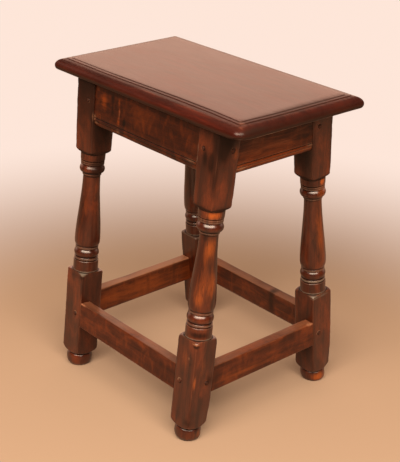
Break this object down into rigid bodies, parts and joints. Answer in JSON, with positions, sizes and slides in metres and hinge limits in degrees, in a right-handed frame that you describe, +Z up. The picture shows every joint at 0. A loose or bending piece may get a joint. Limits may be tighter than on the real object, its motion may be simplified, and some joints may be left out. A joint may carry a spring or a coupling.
{
  "type": "joint stool",
  "caption": "Joint stool: moulded rectangular top on splayed legs, turned between square blocks, tied by moulded aprons and plain low stretchers with pegged tenons.",
  "frame": {"origin": "on the floor, under the middle of the top", "axes": "+Z up, +X along the length of the top, -Y towards the front"},
  "size_m": [0.466, 0.346, 0.56],
  "materials": {
    "top_wood": "polished red-brown board, waxed",
    "leg_wood": "dark stained and waxed, worn to orange-brown on turnings and arrises",
    "rail_wood": "dark stained and waxed",
    "peg_wood": "dark stained end grain",
    "screw_steel": "dull steel"
  },
  "bodies": {
    "root": {"apron_back": "rail_wood", "apron_front": "rail_wood", "apron_left": "rail_wood", "apron_right": "rail_wood", "leg_back_left": "leg_wood", "leg_back_right": "leg_wood", "leg_front_left": "leg_wood", "leg_front_right": "leg_wood", "peg_apron_back_left": "peg_wood", "peg_apron_back_right": "peg_wood", "peg_apron_front_left": "peg_wood", "peg_apron_front_right": "peg_wood", "peg_apron_left_back": "peg_wood", "peg_apron_left_front": "peg_wood", "peg_apron_right_back": "peg_wood", "peg_apron_right_front": "peg_wood", "peg_stretcher_back_left": "peg_wood", "peg_stretcher_back_right": "peg_wood", "peg_stretcher_front_left": "peg_wood", "peg_stretcher_front_right": "peg_wood", "peg_stretcher_left_back": "peg_wood", "peg_stretcher_left_front": "peg_wood", "peg_stretcher_right_back": "peg_wood", "peg_stretcher_right_front": "peg_wood", "seat_top": "top_wood", "stretcher_back": "rail_wood", "stretcher_front": "rail_wood", "stretcher_left": "rail_wood", "stretcher_right": "rail_wood", "top_screw_back_left": "screw_steel", "top_screw_back_right": "screw_steel", "top_screw_front_left": "screw_steel", "top_screw_front_right": "screw_steel", "top_screw_left": "screw_steel", "top_screw_right": "screw_steel"}
  },
  "joints": []
}
